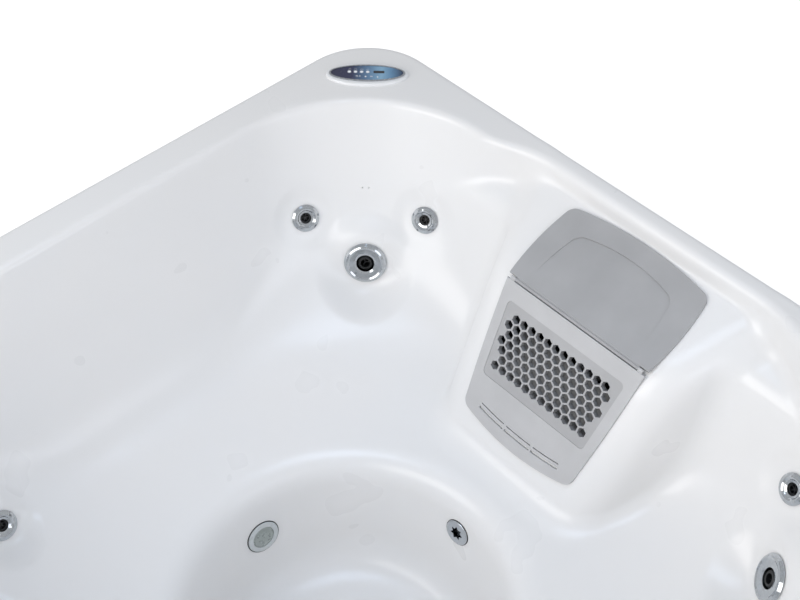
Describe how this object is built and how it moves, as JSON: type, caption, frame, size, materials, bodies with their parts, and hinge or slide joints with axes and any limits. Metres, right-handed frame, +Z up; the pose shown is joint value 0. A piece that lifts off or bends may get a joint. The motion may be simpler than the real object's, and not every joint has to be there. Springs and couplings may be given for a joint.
{
  "type": "hot tub",
  "caption": "Square hot tub with moulded corner seats, a round footwell, massage jets, a skimmer with a hinged lid and a control panel on the rim.",
  "frame": {"origin": "middle of the base, on the surface that the tub stands on", "axes": "+Z up, +X towards the side with the skimmer, the control panel is on the rim at the +X +Y corner"},
  "size_m": [1.85, 1.85, 0.8584],
  "materials": {
    "shell_acrylic": "vacuum formed gloss acrylic, white",
    "skimmer_grey": "satin moulded ABS, mid grey",
    "grille_grey": "satin moulded ABS, mid grey",
    "housing_dark": "moulded ABS, dark grey",
    "ring_pale": "moulded ring, pale grey",
    "inner_plastic": "moulded PVC, off white",
    "black_plastic": "moulded PVC, black",
    "chrome": "polished chrome",
    "filter_fabric": "pleated polyester",
    "lens": "frosted polycarbonate",
    "panel_white": "moulded ABS, white",
    "panel_silver": "satin silver trim",
    "overlay_blue": "printed polyester film, blue",
    "display_dark": "dark display window",
    "key_white": "moulded key, white",
    "cabinet_grey": "polymer panel, grey",
    "tray_black": "thermoformed ABS, black",
    "frame_steel": "galvanised steel",
    "screw_steel": "stainless steel",
    "motor_paint": "painted aluminium, dark",
    "heater_steel": "stainless steel",
    "pipe_white": "PVC pipe, white"
  },
  "bodies": {
    "tub": {"acrylic_shell": "shell_acrylic", "skimmer_housing": "housing_dark", "skimmer_faceplate": "skimmer_grey", "hex_grille": "grille_grey", "lid_hinge_pin": "screw_steel", "small_jet_bodies": "black_plastic", "large_jet_bodies": "black_plastic", "jet_nuts": "inner_plastic", "small_jet_nozzles": "black_plastic", "star_jet_housing": "chrome", "light_housing": "ring_pale", "light_lens": "lens", "suction_covers": "inner_plastic", "panel_base": "panel_white", "panel_trim": "panel_silver", "panel_overlay": "overlay_blue", "panel_display": "display_dark", "cabinet_panel_right": "cabinet_grey", "cabinet_panel_back": "cabinet_grey", "cabinet_panel_left": "cabinet_grey", "cabinet_panel_front": "cabinet_grey", "panel_screws": "screw_steel", "corner_trims": "cabinet_grey", "base_tray": "tray_black", "frame": "frame_steel", "pump_wet_end": "black_plastic", "pump_motor": "motor_paint", "heater_tube": "heater_steel", "control_box": "inner_plastic", "pipes": "pipe_white", "drain_valve": "black_plastic", "cable_gland": "black_plastic"},
    "skimmer_lid": {"skimmer_lid": "skimmer_grey"},
    "weir_flap": {"weir_flap": "skimmer_grey"},
    "filter_cartridge": {"filter_cartridge": "filter_fabric"},
    "small_jet_far_a": {"small_jet_face_far_a": "chrome"},
    "small_jet_far_b": {"small_jet_face_far_b": "chrome"},
    "small_jet_left_a": {"small_jet_face_left_a": "chrome"},
    "small_jet_left_b": {"small_jet_face_left_b": "chrome"},
    "small_jet_near_a": {"small_jet_face_near_a": "chrome"},
    "small_jet_near_b": {"small_jet_face_near_b": "chrome"},
    "small_jet_right_a": {"small_jet_face_right_a": "chrome"},
    "small_jet_right_b": {"small_jet_face_right_b": "chrome"},
    "small_jet_hip_a": {"small_jet_face_hip_a": "chrome"},
    "small_jet_hip_b": {"small_jet_face_hip_b": "chrome"},
    "large_jet_far": {"large_jet_face_far": "chrome"},
    "large_nozzle_far": {"large_jet_nozzle_far": "black_plastic"},
    "large_jet_left": {"large_jet_face_left": "chrome"},
    "large_nozzle_left": {"large_jet_nozzle_left": "black_plastic"},
    "large_jet_near": {"large_jet_face_near": "chrome"},
    "large_nozzle_near": {"large_jet_nozzle_near": "black_plastic"},
    "large_jet_right": {"large_jet_face_right": "chrome"},
    "large_nozzle_right": {"large_jet_nozzle_right": "black_plastic"},
    "star_rotor": {"star_jet_rotor": "black_plastic"},
    "button_jets": {"button_jets": "key_white"},
    "button_light": {"button_light": "key_white"},
    "button_warmer": {"button_warmer": "key_white"},
    "button_cooler": {"button_cooler": "key_white"},
    "pump_impeller": {"pump_impeller": "inner_plastic"},
    "drain_cap": {"drain_cap": "black_plastic"}
  },
  "joints": [
    {"name": "lid_hinge", "type": "hinge", "parent": "tub", "child": "skimmer_lid", "pos_m": [0.65816, 0, 0.71811], "axis": [0, -1, 0], "range_deg": [0, 95]},
    {"name": "weir_hinge", "type": "hinge", "parent": "tub", "child": "weir_flap", "pos_m": [0.57652, 0, 0.5194], "axis": [0, -1, 0], "range_deg": [0, 48]},
    {"name": "filter_twist", "type": "hinge", "parent": "tub", "child": "filter_cartridge", "pos_m": [0.785, 0, 0.578], "axis": [0, 0, 1], "range_deg": [0, 90]},
    {"name": "small_jet_far_a_turn", "type": "hinge", "parent": "tub", "child": "small_jet_far_a", "pos_m": [0.52689, 0.72912, 0.598], "axis": [-0.3164, -0.8243, 0.4695], "range_deg": [0, 90]},
    {"name": "small_jet_far_b_turn", "type": "hinge", "parent": "tub", "child": "small_jet_far_b", "pos_m": [0.72912, 0.52689, 0.598], "axis": [-0.8243, -0.3164, 0.4695], "range_deg": [0, 90]},
    {"name": "small_jet_left_a_turn", "type": "hinge", "parent": "tub", "child": "small_jet_left_a", "pos_m": [-0.72912, 0.52689, 0.598], "axis": [0.8243, -0.3164, 0.4695], "range_deg": [0, 90]},
    {"name": "small_jet_left_b_turn", "type": "hinge", "parent": "tub", "child": "small_jet_left_b", "pos_m": [-0.52689, 0.72912, 0.598], "axis": [0.3164, -0.8243, 0.4695], "range_deg": [0, 90]},
    {"name": "small_jet_near_a_turn", "type": "hinge", "parent": "tub", "child": "small_jet_near_a", "pos_m": [-0.52689, -0.72912, 0.598], "axis": [0.3164, 0.8243, 0.4695], "range_deg": [0, 90]},
    {"name": "small_jet_near_b_turn", "type": "hinge", "parent": "tub", "child": "small_jet_near_b", "pos_m": [-0.72912, -0.52689, 0.598], "axis": [0.8243, 0.3164, 0.4695], "range_deg": [0, 90]},
    {"name": "small_jet_right_a_turn", "type": "hinge", "parent": "tub", "child": "small_jet_right_a", "pos_m": [0.72912, -0.52689, 0.598], "axis": [-0.8243, 0.3164, 0.4695], "range_deg": [0, 90]},
    {"name": "small_jet_right_b_turn", "type": "hinge", "parent": "tub", "child": "small_jet_right_b", "pos_m": [0.52689, -0.72912, 0.598], "axis": [-0.3164, 0.8243, 0.4695], "range_deg": [0, 90]},
    {"name": "small_jet_hip_a_turn", "type": "hinge", "parent": "tub", "child": "small_jet_hip_a", "pos_m": [-0.43, 0.60355, 0.425], "axis": [0.1055, -0.8596, 0.5], "range_deg": [0, 90]},
    {"name": "small_jet_hip_b_turn", "type": "hinge", "parent": "tub", "child": "small_jet_hip_b", "pos_m": [-0.60355, 0.43, 0.425], "axis": [0.8596, -0.1055, 0.5], "range_deg": [0, 90]},
    {"name": "large_jet_far_turn", "type": "hinge", "parent": "tub", "child": "large_jet_far", "pos_m": [0.59577, 0.59577, 0.496], "axis": [-0.6645, -0.6645, 0.342], "range_deg": [0, 90]},
    {"name": "large_nozzle_far_swivel", "type": "hinge", "parent": "large_jet_far", "child": "large_nozzle_far", "pos_m": [0.60241, 0.60241, 0.49258], "axis": [0.7071, -0.7071, 0], "range_deg": [-12, 12]},
    {"name": "large_jet_left_turn", "type": "hinge", "parent": "tub", "child": "large_jet_left", "pos_m": [-0.59577, 0.59577, 0.496], "axis": [0.6645, -0.6645, 0.342], "range_deg": [0, 90]},
    {"name": "large_nozzle_left_swivel", "type": "hinge", "parent": "large_jet_left", "child": "large_nozzle_left", "pos_m": [-0.60241, 0.60241, 0.49258], "axis": [0.7071, 0.7071, 0], "range_deg": [-12, 12]},
    {"name": "large_jet_near_turn", "type": "hinge", "parent": "tub", "child": "large_jet_near", "pos_m": [-0.59577, -0.59577, 0.496], "axis": [0.6645, 0.6645, 0.342], "range_deg": [0, 90]},
    {"name": "large_nozzle_near_swivel", "type": "hinge", "parent": "large_jet_near", "child": "large_nozzle_near", "pos_m": [-0.60241, -0.60241, 0.49258], "axis": [-0.7071, 0.7071, 0], "range_deg": [-12, 12]},
    {"name": "large_jet_right_turn", "type": "hinge", "parent": "tub", "child": "large_jet_right", "pos_m": [0.59577, -0.59577, 0.496], "axis": [-0.6645, 0.6645, 0.342], "range_deg": [0, 90]},
    {"name": "large_nozzle_right_swivel", "type": "hinge", "parent": "large_jet_right", "child": "large_nozzle_right", "pos_m": [0.60241, -0.60241, 0.49258], "axis": [-0.7071, -0.7071, 0], "range_deg": [-12, 12]},
    {"name": "star_rotor_spin", "type": "hinge", "parent": "tub", "child": "star_rotor", "pos_m": [0.33026, 0.00288, 0.262], "axis": [-0.9758, -0.0085, 0.2187], "continuous": true},
    {"name": "button_jets_press", "type": "slide", "parent": "tub", "child": "button_jets", "axis": [0, 0, -1], "range_m": [0, 0.0008], "stiffness_N_per_m": 300},
    {"name": "button_light_press", "type": "slide", "parent": "tub", "child": "button_light", "axis": [0, 0, -1], "range_m": [0, 0.0008], "stiffness_N_per_m": 300},
    {"name": "button_warmer_press", "type": "slide", "parent": "tub", "child": "button_warmer", "axis": [0, 0, -1], "range_m": [0, 0.0008], "stiffness_N_per_m": 300},
    {"name": "button_cooler_press", "type": "slide", "parent": "tub", "child": "button_cooler", "axis": [0, 0, -1], "range_m": [0, 0.0008], "stiffness_N_per_m": 300},
    {"name": "impeller_spin", "type": "hinge", "parent": "tub", "child": "pump_impeller", "pos_m": [-0.64, -0.56, 0.125], "axis": [1, 0, 0], "continuous": true},
    {"name": "drain_cap_turn", "type": "hinge", "parent": "tub", "child": "drain_cap", "pos_m": [-0.64, -0.923, 0.11], "axis": [0, -1, 0], "range_deg": [0, 270]}
  ]
}
